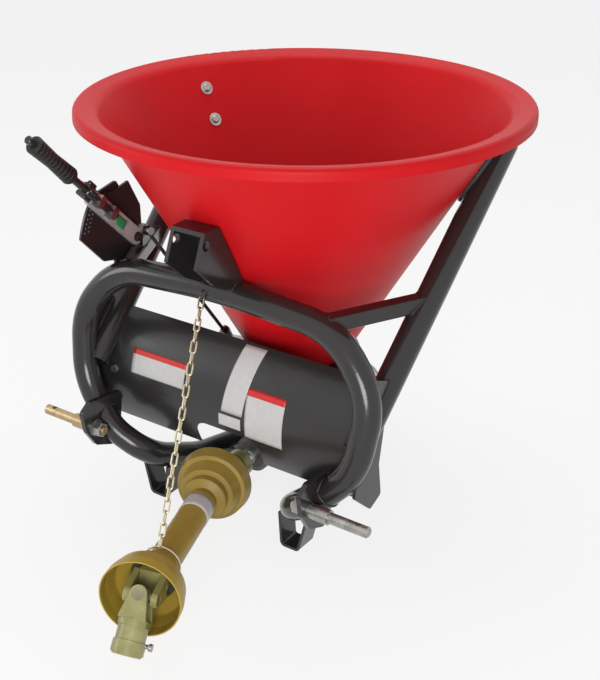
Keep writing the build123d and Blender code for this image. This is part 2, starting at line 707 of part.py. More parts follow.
# Output shaft: stands through the gears, spinner, gate and floor, up into the hopper
shaft_top_z = floor_z + 40.0
with BuildPart() as output_shaft:
    with BuildSketch(output_axis.offset(box_low_z + 4.3)):
        Circle(output_r)
    extrude(amount=shaft_top_z - box_low_z - 4.3)
    chamfer(output_shaft.faces().sort_by(Axis.Z)[-1].edges(), 1.5)
    with BuildSketch(Plane(origin=(0, axis_y, spinner_z - 10), z_dir=(0, 1, 0))):
        Circle(hub_pin_r)
    extrude(amount=2 * output_r, both=True, mode=Mode.SUBTRACT)
    with BuildSketch(Plane(origin=(0, axis_y, agitator_z), z_dir=(1, 0, 0))):
        Circle(finger_r)
    extrude(amount=2 * output_r, both=True, mode=Mode.SUBTRACT)
save(output_shaft.part, "output_shaft")

# Agitator: bent finger bar through the top of the shaft
with BuildPart() as agitator:
    with BuildLine() as finger:
        FilletPolyline((-66, axis_y - 14, agitator_z + 22), (-52, axis_y, agitator_z),
                       (52, axis_y, agitator_z), (66, axis_y + 14, agitator_z + 22), radius=10)
    with BuildSketch(Plane(origin=finger.line @ 0, z_dir=finger.line % 0)):
        Circle(finger_r)
    sweep(path=finger.line)
save(agitator.part, "agitator")

# Spinner: pressed disc on a hub, with four folded fins
fin_start = 48.0
hub_r = 24.0
with BuildPart() as spinner:
    with BuildSketch(output_axis.offset(spinner_z)):
        Circle(spinner_r)
        Circle(output_r, mode=Mode.SUBTRACT)
    extrude(amount=disc_thick)
    with BuildSketch(output_axis.offset(spinner_z)):
        Circle(hub_r)
        Circle(output_r, mode=Mode.SUBTRACT)
    extrude(amount=-20)
    with BuildSketch(output_axis.offset(spinner_z)):
        with PolarLocations(0, 4):
            with Locations((fin_start + 25, -6), (spinner_r - 30, -6)):
                Circle(3.5, mode=Mode.ADD)
    extrude(amount=disc_thick, mode=Mode.SUBTRACT)
    with BuildSketch(output_axis.offset(spinner_z + disc_thick)):
        Circle(spinner_r)
        Circle(spinner_r - 2.5, mode=Mode.SUBTRACT)
    extrude(amount=3)
    with BuildSketch(Plane(origin=(0, axis_y, spinner_z - 10), z_dir=(0, 1, 0))):
        Circle(hub_pin_r)
    extrude(amount=2 * hub_r, both=True, mode=Mode.SUBTRACT)
save(spinner.part, "spinner_disc")
fin_end = spinner_r - 4
with BuildPart() as spinner_fins:
    for turn in (0, 90, 180, 270):
        reach = Vector(cos(radians(turn)), sin(radians(turn)), 0)
        fin_plane = Plane(origin=Vector(0, axis_y, spinner_z + disc_thick) + reach * fin_start,
                          x_dir=(-reach.Y, reach.X, 0), z_dir=reach)
        with BuildSketch(fin_plane):
            with BuildLine():
                Polyline((-12, 0), (2.5, 0), (2.5, fin_height - 2.5), (7, fin_height - 2.5), (7, fin_height),
                         (0, fin_height), (0, 2.5), (-12, 2.5), close=True)
            make_face()
        extrude(amount=fin_end - fin_start)
save(spinner_fins.part, "spinner_fins")
with BuildPart() as fin_bolts:
    with BuildSketch(output_axis.offset(spinner_z + disc_thick + 2.5)):
        with PolarLocations(0, 4):
            with Locations((fin_start + 25, -6), (spinner_r - 30, -6)):
                RegularPolygon(5.5, 6)
    extrude(amount=4)
    with BuildSketch(output_axis.offset(spinner_z)):
        with PolarLocations(0, 4):
            with Locations((fin_start + 25, -6), (spinner_r - 30, -6)):
                Circle(5.5)
    extrude(amount=-3)
with BuildPart() as spinner_pin:
    with BuildSketch(Plane(origin=(0, axis_y, spinner_z - 10), z_dir=(0, 1, 0))):
        Circle(hub_pin_r)
    extrude(amount=hub_r + 2, both=True)
save(Compound(children=fin_bolts.part.solids() + spinner_pin.part.solids()), "spinner_bolts")


# Quadrant beside the left shoulder: carries the shut-off lever
lever_dir = Vector(0, -cos(radians(lever_deg)), sin(radians(lever_deg)))
plate_plane = Plane(origin=(quadrant_x, rock_y, rock_z), x_dir=(0, -1, 0), z_dir=(-1, 0, 0))
quadrant_thick = 5.0
quadrant_low = lever_deg - lever_sweep - 8
quadrant_high = lever_deg + 7
with BuildPart() as quadrant:
    with BuildSketch(plate_plane) as quadrant_face:
        with BuildLine():
            arc = CenterArc((0, 0), quadrant_r, quadrant_low, quadrant_high - quadrant_low)
            Polyline(arc @ 1, (60, 108), (8, 118), (-24, 60), (-26, -18), (30, -40), (94, -26), arc @ 0)
        make_face()
        fillet(quadrant_face.vertices().group_by(Axis.Y)[0], 10)
        for hole in range(9):
            for row, offset in ((quadrant_r - 9, 0), (quadrant_r - 19, 1.6)):
                turn = radians(quadrant_low + 5 + offset + hole * 3.5)
                with Locations((row * cos(turn), row * sin(turn))):
                    Circle(2.6, mode=Mode.SUBTRACT)
    extrude(amount=quadrant_thick)
quadrant_cut = largest(quadrant.part - hoop_solid - mirror(brace_cut, about=Plane.YZ))
save(quadrant_cut, "quadrant")
with BuildPart() as lever_bracket:
    with BuildSketch(Plane(origin=(quadrant_x - quadrant_thick - 2, rock_y, rock_z), x_dir=(0, -1, 0),
                           z_dir=(-1, 0, 0))) as rear_face:
        with BuildLine():
            Polyline((37, 125), (90, 116), (60, 30), (52, -52), (8, -60), (-14, 48), close=True)
        make_face()
        fillet(rear_face.vertices(), 6)
    extrude(amount=5)
bracket_cut = largest(lever_bracket.part - hoop_solid)
save(bracket_cut, "lever_bracket")

# Pivot bolt through quadrant and lever
lever_thick = 8.0
bar_gap = 0.5
bar_inner = quadrant_x + bar_gap
pivot_end = bar_inner + lever_thick + 2 + 9
with BuildPart() as pivot_bolt:
    with BuildSketch(Plane(origin=(quadrant_x - quadrant_thick - 9, rock_y, rock_z), z_dir=(1, 0, 0))):
        Circle(6)
    extrude(amount=pivot_end - quadrant_x + quadrant_thick + 9)
    with BuildSketch(Plane(origin=(bar_inner + lever_thick + bar_gap, rock_y, rock_z), z_dir=(1, 0, 0))):
        Circle(10)
    extrude(amount=2)
    with BuildSketch(Plane(origin=(bar_inner + lever_thick + bar_gap + 2, rock_y, rock_z), z_dir=(1, 0, 0))):
        RegularPolygon(9, 6)
    extrude(amount=7)
save(pivot_bolt.part - quadrant_cut - bracket_cut, "pivot_bolt")

# Lever: flat bar on the pivot, round rod clamped to it, rubber grip, star knob
bar_plane = Plane(origin=(bar_inner, rock_y, rock_z), x_dir=lever_dir, z_dir=(1, 0, 0))
bar_reach = 168.0
bar_width_lever = 34.0
pull_arm = 26.0
pull_deg = 17.0
pull_pin_r = 4.5
pull_dir = Vector(0, cos(radians(pull_deg)), sin(radians(pull_deg)))
pull_pin = Vector(bar_inner + lever_thick, rock_y, rock_z) + pull_dir * pull_arm
pull_local = bar_plane.to_local_coords(Vector(bar_inner, pull_pin.Y, pull_pin.Z))
with BuildPart() as lever_bar:
    with BuildSketch(bar_plane):
        with Locations((bar_reach / 2, 0)):
            SlotOverall(bar_reach + bar_width_lever, bar_width_lever)
        with BuildLine():
            Line((0, 0), (pull_local.X, pull_local.Y))
        trace(line_width=26)
        with Locations((pull_local.X, pull_local.Y)):
            Circle(12)
        Circle(6 + running_fit, mode=Mode.SUBTRACT)
    extrude(amount=lever_thick)
    with BuildSketch(Plane(origin=pull_pin, z_dir=(1, 0, 0))):
        Circle(pull_pin_r)
    extrude(amount=15)
    with BuildSketch(Plane(origin=pull_pin + Vector(15, 0, 0), z_dir=(1, 0, 0))):
        Circle(8)
    extrude(amount=3)
save(lever_bar.part, "lever_bar")
rod_r = 8.0
lever_length = 392.0
rod_out = rod_r + lever_thick
rod_axis = bar_plane.offset(rod_out)
rod_start = 96.0
with BuildPart() as lever_rod:
    with BuildSketch(Plane(origin=rod_axis.origin + lever_dir * rod_start, z_dir=lever_dir)):
        Circle(rod_r)
    extrude(amount=lever_length - rod_start)
    chamfer(lever_rod.faces().sort_by(Axis((0, 0, 0), lever_dir))[-1].edges(), 1.5)
save(lever_rod.part, "lever_rod")
grip_start = 255.0
grip_end = 376.0
grip_r = 17.5
with BuildPart() as grip:
    with BuildSketch(Plane(origin=rod_axis.origin, x_dir=(1, 0, 0), z_dir=Vector(1, 0, 0).cross(lever_dir))):
        with BuildLine():
            Polyline((rod_r + running_fit, grip_start), (grip_r - 2, grip_start), (grip_r, grip_start + 4),
                     (grip_r - 2.5, (grip_start + grip_end) / 2), (grip_r, grip_end - 4),
                     (grip_r - 3, grip_end), (rod_r + running_fit, grip_end), close=True)
        make_face()
    revolve(axis=Axis(rod_axis.origin, lever_dir))
save(grip.part, "grip")
rod_plane = Plane(origin=rod_axis.origin, x_dir=(1, 0, 0), z_dir=lever_dir)
with BuildPart() as rod_clamp:
    for station in (104.0, 150.0):
        with BuildSketch(rod_plane.offset(station)):
            Rectangle(2 * rod_r + 6, 2 * rod_r + 8)
            with Locations((-rod_r - 1.5, 0)):
                Rectangle(3.02, 2 * rod_r + 8, mode=Mode.SUBTRACT)
            Circle(rod_r, mode=Mode.SUBTRACT)
        extrude(amount=14)
save(rod_clamp.part, "rod_clamp")
knob_start = 190.0
with BuildPart() as lock_knob:
    with BuildSketch(rod_plane.offset(knob_start)):
        Circle(15)
        with PolarLocations(15, 5):
            Circle(5)
        Circle(rod_r + running_fit, mode=Mode.SUBTRACT)
    extrude(amount=20)
    chamfer(lock_knob.faces().sort_by(Axis((0, 0, 0), lever_dir))[-1].outer_wire().edges(), 1.5)
save(lock_knob.part, "lock_knob")

# Link from the lever down to the gate's tongue: flat eyes on a round rod
gate_pin = Vector(gate_tongue[0], gate_tongue[1], gate_top)
link_top = pull_pin + Vector(2 + 3, 0, 0)
link_low = gate_pin + Vector(0, 0, 14)
link_dir = (link_top - link_low).normalized()
link_turn_dir = Vector(0, 0.882, 0.471)
link_eye_r = 10.5
link_hole_r = 6.5
link_rod_r = 4.0
link_pin_r = 5.0
with BuildPart() as link_rod:
    with BuildSketch(Plane(origin=link_low + link_dir * 8, z_dir=link_dir)):
        Circle(link_rod_r)
    extrude(amount=(link_top - link_low).length - 8 - link_hole_r - 1.5)
    with BuildSketch(Plane(origin=link_top + Vector(-3, 0, 0), x_dir=(0, 1, 0), z_dir=(1, 0, 0))):
        Circle(link_eye_r)
    extrude(amount=6)
    with BuildSketch(Plane(origin=link_top + Vector(-4, 0, 0), x_dir=(0, 1, 0), z_dir=(1, 0, 0))):
        Circle(link_hole_r)
    extrude(amount=10, mode=Mode.SUBTRACT)
    with BuildSketch(Plane(origin=link_low, z_dir=link_turn_dir)):
        Circle(10)
    extrude(amount=5, both=True)
    with BuildSketch(Plane(origin=link_low, z_dir=link_turn_dir)):
        Circle(link_pin_r + running_fit)
    extrude(amount=6, both=True, mode=Mode.SUBTRACT)
save(link_rod.part, "link_rod")
with BuildPart() as gate_clevis:
    with BuildSketch(Plane(origin=link_low, x_dir=(1, 0, 0), z_dir=link_turn_dir)):
        Circle(link_pin_r)
    extrude(amount=10, both=True)
    for side in (1, -1):
        leg_at = link_low + link_turn_dir * side * 5.6
        with BuildSketch(Plane(origin=leg_at, x_dir=(1, 0, 0), z_dir=link_turn_dir * side)):
            Circle(9)
            with Locations((0, side * 20)):
                Rectangle(18, 40)
        extrude(amount=4)
    split(bisect_by=Plane.XY.offset(gate_top), keep=Keep.TOP)
save(Part(gate.part.fuse(gate_clevis.part).wrapped), "gate")

# Frame of the hanging shaft
swing = radians(swing_deg)
lift = radians(lift_deg)
shaft_dir = Vector(sin(swing) * cos(lift), -cos(swing) * cos(lift), sin(lift))
rear_joint = Vector(0, joint_y, input_z)
chain_top = Vector(-24, joint_y, 512)
swing_dir = (chain_top - rear_joint).normalized()
cross_dir = swing_dir.cross(shaft_dir).normalized()
shaft_plane = Plane(origin=rear_joint, x_dir=cross_dir, z_dir=shaft_dir)
shaft_section = Plane(origin=rear_joint, x_dir=cross_dir, z_dir=cross_dir.cross(shaft_dir))
front_joint = rear_joint + shaft_dir * shaft_length
aside = shaft_dir.cross(Vector(0, 0, -1)).normalized()
below = aside.cross(shaft_dir).normalized()
fold_bearing = radians(-5)
hang_dir = below * cos(fold_bearing) + aside * sin(fold_bearing)
yoke_dir = shaft_dir * cos(radians(front_fold)) + hang_dir * sin(radians(front_fold))
fold_dir = shaft_dir.cross(yoke_dir).normalized()
yoke_pin_dir = yoke_dir.cross(fold_dir).normalized()
front_plane = Plane(origin=front_joint, x_dir=fold_dir, z_dir=-shaft_dir)
front_yoke_plane = Plane(origin=front_joint, x_dir=yoke_pin_dir, z_dir=yoke_dir)
rear_yoke_plane = Plane(origin=rear_joint, x_dir=swing_dir, z_dir=(0, 1, 0))


def yoke(plane, reach, bore_r, bore_depth):
    # cast fork: two ears across the joint, a bridge behind them and a round hub
    bridge_start = 42.0
    bridge_end = 54.0
    ear_out = ear_gap + ear_thick
    with BuildPart(mode=Mode.PRIVATE) as fork:
        with BuildSketch(Plane.YZ.offset(ear_gap)):
            Circle(ear_r)
            Polygon((-ear_r, 0), (ear_r, 0), (yoke_r - 2, bridge_start + 2),
                    (2 - yoke_r, bridge_start + 2), align=None)
            Circle(cap_r + running_fit, mode=Mode.SUBTRACT)
        extrude(amount=ear_thick)
        mirror(about=Plane.YZ)
        with BuildSketch(Plane.XY.offset(bridge_start)):
            Circle(ear_out + 1)
            Rectangle(2 * ear_out + 4, 2 * yoke_r - 4, mode=Mode.INTERSECT)
        extrude(amount=bridge_end - bridge_start)
        with BuildSketch(Plane.XY.offset(bridge_end)):
            Circle(yoke_r)
        extrude(amount=reach - bridge_end)
        with BuildSketch(Plane.XY.offset(reach - 26)):
            Circle(yoke_r + 2.5)
        extrude(amount=22)
        chamfer(fork.faces().sort_by(Axis.Z)[-1].edges(), 2)
        with BuildSketch(Plane.XY.offset(reach)):
            Circle(bore_r)
        extrude(amount=-bore_depth, mode=Mode.SUBTRACT)
    return plane * fork.part


def cross(centre, first_dir, second_dir):
    # spider: slim arms with a bearing cap on each end
    arm_r = 8.5
    reach = ear_gap + ear_thick - 0.5
    with BuildPart(mode=Mode.PRIVATE) as spider:
        for direction in (first_dir, second_dir):
            with BuildSketch(Plane(origin=centre, z_dir=direction)):
                Circle(arm_r)
            extrude(amount=reach, both=True)
            for side in (1, -1):
                cap_at = centre + direction * side * (ear_gap - 1.5)
                with BuildSketch(Plane(origin=cap_at, z_dir=direction * side)):
                    Circle(cap_r)
                extrude(amount=reach - ear_gap + 1.5)
    return spider.part


# Rear joint: yoke on the input shaft, cross, yoke of the inner bar
rear_yoke_reach = 92.0
save(yoke(rear_yoke_plane, rear_yoke_reach, spline_r + running_fit, rear_yoke_reach - 38), "rear_yoke")
save(cross(rear_joint, swing_dir, cross_dir), "rear_cross")
inner_bar_half = 12.0
inner_reach = 84.0
socket_r = 9.0
socket_depth = 4.0
save(yoke(shaft_plane, inner_reach, socket_r, socket_depth), "inner_yoke_rear")
inner_bar_end = 352.0
with BuildPart() as inner_bar:
    with BuildSketch(shaft_plane.offset(inner_reach - socket_depth)):
        Circle(socket_r)
    extrude(amount=socket_depth)
    with BuildSketch(shaft_plane.offset(inner_reach)):
        RectangleRounded(2 * inner_bar_half, 2 * inner_bar_half, 2)
    extrude(amount=inner_bar_end - inner_reach)
save(inner_bar.part, "inner_bar")

# Front joint: sleeve that slides on the bar, yoke, cross, yoke for the tractor's stub
sleeve_start = 112.0
slide_clear = 0.15
sleeve_end = shaft_length - inner_reach
sleeve_half = 15.5
with BuildPart() as outer_sleeve:
    with BuildSketch(shaft_plane.offset(sleeve_start)):
        RectangleRounded(2 * sleeve_half, 2 * sleeve_half, 3)
        bore_width = 2 * (inner_bar_half + slide_clear)
        RectangleRounded(bore_width, bore_width, 2, mode=Mode.SUBTRACT)
    extrude(amount=sleeve_end - sleeve_start)
save(outer_sleeve.part, "outer_sleeve")
save(yoke(front_plane, inner_reach, socket_r, socket_depth), "inner_yoke_front")
save(cross(front_joint, fold_dir, yoke_pin_dir), "front_cross")
front_reach = 106.0
bore_mouth = 58.0
tractor_yoke = yoke(front_yoke_plane, front_reach, spline_low_r, bore_mouth)
pin_station = front_reach - 24.0
pin_r = 4.2
pin_offset = spline_r + 2.6
lock_plane = Plane(origin=front_joint + yoke_dir * pin_station, x_dir=yoke_dir, z_dir=fold_dir)
with BuildPart() as front_yoke:
    add(tractor_yoke)
    with BuildSketch(lock_plane):
        with Locations((0, pin_offset)):
            Circle(pin_r)
    extrude(amount=yoke_r + 8, both=True, mode=Mode.SUBTRACT)
    with BuildSketch(Plane(origin=front_joint + yoke_dir * front_reach, x_dir=fold_dir, z_dir=-yoke_dir)):
        with PolarLocations((spline_low_r + spline_r) / 2, spline_count):
            Rectangle(spline_r - spline_low_r + 0.6, spline_width)
    extrude(amount=bore_mouth, mode=Mode.SUBTRACT)
save(front_yoke.part, "front_yoke")

# Push pin of the tractor yoke
with BuildPart() as lock_pin:
    with BuildSketch(lock_plane.offset(-yoke_r + 6)):
        with Locations((0, pin_offset)):
            Circle(pin_r - running_fit)
    extrude(amount=2 * yoke_r)
    with BuildSketch(lock_plane.offset(yoke_r + 4.2)):
        with Locations((0, pin_offset)):
            Circle(7)
    extrude(amount=6)
save(lock_pin.part, "lock_pin")

# Guard: rear cone with its tube, front bell with its tube, bearing rings on the yokes
rear_tube_r = guard_r - guard_wall - 0.4
bell_mouth = shaft_length + 12.0
bell_neck = shaft_length - 91.0
ring_seat_r = 44.0
ring_seat_start = 68.0
ring_seat_length = 18.0
with BuildPart() as rear_guard:
    with BuildSketch(shaft_section):
        with BuildLine():
            FilletPolyline((bell_r, 6), (bell_r - 5, 36), (63, 38), (54, 66), (ring_seat_r, ring_seat_start),
                           (ring_seat_r, ring_seat_start + ring_seat_length), (rear_tube_r, 92),
                           (rear_tube_r - guard_wall / 2, 104),
                           (rear_tube_r - guard_wall / 2, bell_neck - 24), radius=1.8)
        trace(line_width=guard_wall)
    revolve(axis=Axis(rear_joint, shaft_dir))
save(rear_guard.part, "rear_guard")
front_seat_start = bell_neck + 10.0
with BuildPart() as front_guard:
    with BuildSketch(shaft_section):
        with BuildLine():
            FilletPolyline((guard_r - guard_wall / 2, 108), (guard_r - guard_wall / 2, bell_neck),
                           (ring_seat_r, front_seat_start),
                           (ring_seat_r, front_seat_start + ring_seat_length), (66, front_seat_start + 40),
                           (bell_r - 3, bell_mouth - 22), (bell_r - 2, bell_mouth),
                           radius=(4, 3, 6, 14, 10))
        trace(line_width=guard_wall)
    revolve(axis=Axis(rear_joint, shaft_dir))
save(front_guard.part, "front_guard")


def guard_ring(start):
    # nylon ring between the guard's seat and the yoke's hub
    with BuildPart(mode=Mode.PRIVATE) as ring:
        with BuildSketch(shaft_plane.offset(start)):
            Circle(ring_seat_r - guard_wall / 2 - running_fit)
            Circle(yoke_r + 2.5 + running_fit, mode=Mode.SUBTRACT)
        extrude(amount=7)
    return ring.part


save(guard_ring(ring_seat_start + 4), "guard_ring_rear")
save(guard_ring(front_seat_start + 6), "guard_ring_front")

# Chain: clip round the guard, links up to the eye under the arch
clip_station = bell_neck - 12.0
clip_r = guard_r + 4.0
clip_wire_r = 2.0
touch = 0.15
up_dir = shaft_dir.cross(cross_dir) * -1
if up_dir.Z < 0:
    up_dir = up_dir * -1
with BuildPart() as chain_clip:
    clip_centre = rear_joint + shaft_dir * clip_station + up_dir * (clip_r - guard_r - 2 * touch)
    with BuildSketch(Plane(origin=clip_centre, x_dir=up_dir, z_dir=cross_dir)):
        with Locations((clip_r + clip_wire_r, 0)):
            Circle(clip_wire_r)
    revolve(axis=Axis(clip_centre, shaft_dir))
save(chain_clip.part, "chain_clip")
clip_top = clip_centre + up_dir * (clip_r + clip_wire_r)
chain_foot = clip_top + (clip_top - chain_top).normalized() * (clip_wire_r + touch)
chain_dir = (chain_foot - chain_top).normalized()
chain_length = (chain_foot - chain_top).length
link_count = round(chain_length / link_length)
link_count += link_count % 2
link_pitch = chain_length / link_count
link_side = cross_dir
link_side = (link_side - chain_dir * link_side.dot(chain_dir)).normalized()
link_cross = chain_dir.cross(link_side)
link_mid_half = link_pitch / 2 + 2 * link_wire_r + 0.15 - link_width / 2
bend_r = link_width / 2 - link_wire_r


def chain_link(plane):
    # round wire bent to a closed oval, long side along the plane's x
    with BuildPart(mode=Mode.PRIVATE) as link:
        with BuildLine() as oval:
            top = Line((-link_mid_half, bend_r), (link_mid_half, bend_r))
            end = TangentArc(top @ 1, (link_mid_half, -bend_r), tangent=top % 1)
            low = Line(end @ 1, (-link_mid_half, -bend_r))
            TangentArc(low @ 1, top @ 0, tangent=low % 1)
        with BuildSketch(Plane(origin=(0, bend_r, 0), z_dir=(1, 0, 0))):
            Circle(link_wire_r)
        sweep(path=oval.wires()[0])
    return plane * link.part


links = []
for number in range(link_count):
    centre = chain_top + chain_dir * link_pitch * (number + 0.5)
    across = link_side if number % 2 == 0 else link_cross
    links.append(chain_link(Plane(origin=centre, x_dir=chain_dir, z_dir=chain_dir.cross(across))))
save(Compound(children=links), "chain")

# Eye under the arch for the first link
eye_r = 9.0
eye_wire_r = 1.4
eye_dir = Vector(0, chain_dir.Y, chain_dir.Z).normalized()
eye_centre = chain_top + chain_dir * (eye_wire_r + touch) - eye_dir * eye_r
with BuildPart() as chain_eye:
    with BuildSketch(Plane(origin=eye_centre, x_dir=eye_dir, z_dir=eye_dir.cross(Vector(1, 0, 0)))):
        with Locations((eye_r, 0)):
            Circle(eye_wire_r)
    revolve(axis=Axis(eye_centre, (1, 0, 0)))
chain_eye_cut = largest(chain_eye.part - hoop_solid)
save(chain_eye_cut, "chain_eye")
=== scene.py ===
"""Fertilizer spreader: finishes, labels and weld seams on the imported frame, in metres."""
import math

import bmesh
import bpy
from mathutils import Matrix, Vector
from mathutils.bvhtree import BVHTree


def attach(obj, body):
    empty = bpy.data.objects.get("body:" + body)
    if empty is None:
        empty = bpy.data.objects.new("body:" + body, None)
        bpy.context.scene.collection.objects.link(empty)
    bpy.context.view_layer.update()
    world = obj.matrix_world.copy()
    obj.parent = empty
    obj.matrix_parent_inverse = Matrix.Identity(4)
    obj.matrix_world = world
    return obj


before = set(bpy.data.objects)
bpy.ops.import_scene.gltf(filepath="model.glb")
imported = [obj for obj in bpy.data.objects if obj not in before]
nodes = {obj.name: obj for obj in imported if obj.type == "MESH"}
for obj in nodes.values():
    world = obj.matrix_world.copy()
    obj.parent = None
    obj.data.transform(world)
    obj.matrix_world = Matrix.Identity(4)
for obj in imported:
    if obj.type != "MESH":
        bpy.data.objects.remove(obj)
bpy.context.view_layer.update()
scene = bpy.context.scene
MM = 0.001

# The places that the labels and seams sit on, as the part has them
HOPPER_Y = 0.1852
SHIELD_Y = HOPPER_Y - 0.080
SHIELD_Z = 0.242
SHIELD_R = 0.186
GUARD_R = 0.030
REAR_JOINT = Vector((0, HOPPER_Y - 0.300, 0.112))
SWING = math.radians(21)
LIFT = math.radians(5)
SHAFT = Vector((math.sin(SWING) * math.cos(LIFT), -math.cos(SWING) * math.cos(LIFT), math.sin(LIFT)))
LEVER_PIVOT = Vector((-0.272, HOPPER_Y - 0.190, 0.546))
LEVER_FACE = -0.2775
FILM_TOP = 0.0005        # a sticker's face above its sheet
FILM_UNDER = 0.0001
LEVER = Vector((0, -math.cos(math.radians(43.5)), math.sin(math.radians(43.5))))


# Finishes: shader maths written as expressions

class Signal:
    """A value or colour on its way through a finish."""

    def __init__(self, finish, socket):
        self.finish = finish
        self.socket = socket

    def math(self, operation, *others):
        return self.finish.add("ShaderNodeMath", {"operation": operation}, self, *others)

    def __add__(self, other):
        return self.math("ADD", other)

    def __sub__(self, other):
        return self.math("SUBTRACT", other)

    def __mul__(self, other):
        return self.math("MULTIPLY", other)

    def __truediv__(self, other):
        return self.math("DIVIDE", other)

    def __pow__(self, other):
        return self.math("POWER", other)

    def __rsub__(self, other):
        return self * -1 + other

    def __rtruediv__(self, other):
        return other * self ** -1

    def __gt__(self, other):
        return self.math("GREATER_THAN", other)

    __radd__ = __add__
    __rmul__ = __mul__

    def sine(self):
        return self.math("SINE")

    def limited(self):
        return self.math("MAXIMUM", 0.0).math("MINIMUM", 1.0)

    def ramped(self, low, high):
        return ((self - low) / (high - low)).limited()


class Finish:
    """A material with one surface shader and the nodes that feed it."""

    def __init__(self, name, **surface):
        self.material = bpy.data.materials.new(name)
        self.material.use_nodes = True
        self.tree = self.material.node_tree
        self.shader = self.tree.nodes["Principled BSDF"]
        self.set(**surface)

    def set(self, **surface):
        for name, value in surface.items():
            self.feed(self.shader.inputs[name.replace("_", " ")], value)

    def feed(self, socket, value):
        if isinstance(value, Signal):
            self.tree.links.new(value.socket, socket)
        elif socket.type == "RGBA":
            socket.default_value = (*value, 1.0)
        else:
            socket.default_value = value

    def add(self, kind, settings, *values, output=0, places=None, **named):
        """Any node: its settings, then its sockets by order, by place or by name."""
        node = self.tree.nodes.new(kind)
        for name, value in settings.items():
            setattr(node, name, value)
        for socket, value in {**dict(enumerate(values)), **(places or {}), **named}.items():
            self.feed(node.inputs[socket], value)
        return Signal(self, node.outputs[output])

    def mix(self, amount, first, second):
        colours = {0: amount, 6: first, 7: second}
        return self.add("ShaderNodeMix", {"data_type": "RGBA"}, output=2, places=colours)

    def place(self):
        return self.add("ShaderNodeTexCoord", {}, output=3)

    def across(self):
        return self.add("ShaderNodeUVMap", {}, output=0)

    def flat_axes(self):
        """How far across and up a sheet a point lies, both from 0 to 1."""
        return [self.add("ShaderNodeSeparateXYZ", {}, self.across(), output=axis) for axis in (0, 1)]

    def shown(self):
        """1 for rays from the camera, from a reflection and through glass."""
        camera, glossy, clear = (self.add("ShaderNodeLightPath", {}, output=ray)
                                 for ray in ("Is Camera Ray", "Is Glossy Ray", "Is Transmission Ray"))
        return camera.math("MAXIMUM", glossy).math("MAXIMUM", clear)

    def noise(self, scale, detail=3.0, rough=0.5, where=None):
        where = where or self.place()
        return self.add("ShaderNodeTexNoise", {}, Vector=where, Scale=scale, Detail=detail, Roughness=rough)

    def cells(self, scale):
        return self.add("ShaderNodeTexVoronoi", {}, Vector=self.place(), Scale=scale)

    def bump(self, height, depth, strength=1.0):
        relief = self.add("ShaderNodeBump", {}, Height=height, Distance=depth, Strength=strength)
        self.set(Normal=relief)

    def along(self, direction, start):
        """Distance from start along direction, in metres."""
        offset = self.add("ShaderNodeVectorMath", {"operation": "SUBTRACT"}, self.place(), tuple(start))
        return self.add("ShaderNodeVectorMath", {"operation": "DOT_PRODUCT"}, offset, tuple(direction),
                        output="Value")

    def on(self, *names):
        for name in names:
            node = nodes[name]
            node.data.materials.clear()
            node.data.materials.append(self.material)


def moulded_red():
    finish = Finish("moulded_red", Specular_IOR_Level=0.15)
    cloud = finish.noise(5.0, 4.0)
    speck = finish.noise(900.0, 2.0)
    finish.set(Base_Color=finish.mix(cloud.ramped(0.3, 0.7), (0.58, 0.0075, 0.0115), (0.65, 0.0095, 0.0140)),
               Roughness=cloud * 0.08 + 0.40)
    finish.bump(speck + cloud * 6.0, 0.00022, 0.35)
    return finish


def gloss_black(name="gloss_black", tone=0.023, rough=0.13):
    finish = Finish(name, Specular_IOR_Level=0.42, Coat_Roughness=0.06)
    film = finish.noise(55.0, 3.0)
    cloud = finish.noise(9.0, 3.0)
    dust = finish.noise(420.0, 4.0).ramped(0.58, 0.80) * cloud.ramped(0.45, 0.7)
    black = (tone, tone * 0.92, tone * 0.92)
    grey = (0.060, 0.054, 0.050)
    finish.set(Base_Color=finish.mix(dust * 0.35, black, grey), Roughness=cloud * 0.12 + rough,
               Coat_Weight=cloud * 0.12 + 0.06)
    finish.bump(film, 0.0006, 0.25)
    return finish


def plated(name, tone, tint, rough=0.24):
    finish = Finish(name, Metallic=1.0)
    spangle = finish.cells(260.0)
    haze = finish.noise(60.0, 4.0)
    finish.set(Base_Color=finish.mix(haze.ramped(0.3, 0.72), tone, tint),
               Roughness=spangle * 0.16 + haze * 0.12 + rough)
    finish.bump(haze + spangle * 0.4, 0.00018, 0.35)
    return finish


def moulded_yellow(name, pale, deep):
    finish = Finish(name, Specular_IOR_Level=0.4)
    cloud = finish.noise(14.0, 4.0)
    scuff = finish.noise(320.0, 5.0).ramped(0.60, 0.78)
    colour = finish.mix(cloud.ramped(0.3, 0.7), pale, deep)
    finish.set(Base_Color=finish.mix(scuff * 0.3, colour, (0.22, 0.15, 0.03)), Roughness=cloud * 0.14 + 0.34)
    finish.bump(finish.noise(700.0) * 0.25 + cloud * 0.6, 0.0004, 0.5)
    return finish


def enamel(name, pale, deep):
    finish = Finish(name, Coat_Roughness=0.12)
    cloud = finish.noise(26.0, 4.0)
    chip = finish.noise(130.0, 5.0, 0.6).ramped(0.66, 0.72)
    colour = finish.mix(cloud.ramped(0.32, 0.7), pale, deep)
    finish.set(Base_Color=finish.mix(chip * 0.7, colour, (0.10, 0.085, 0.05)), Roughness=cloud * 0.15 + 0.26,
               Coat_Weight=0.25 - chip * 0.25)
    finish.bump(finish.noise(340.0) + cloud * 2.0, 0.0005, 0.45)
    return finish


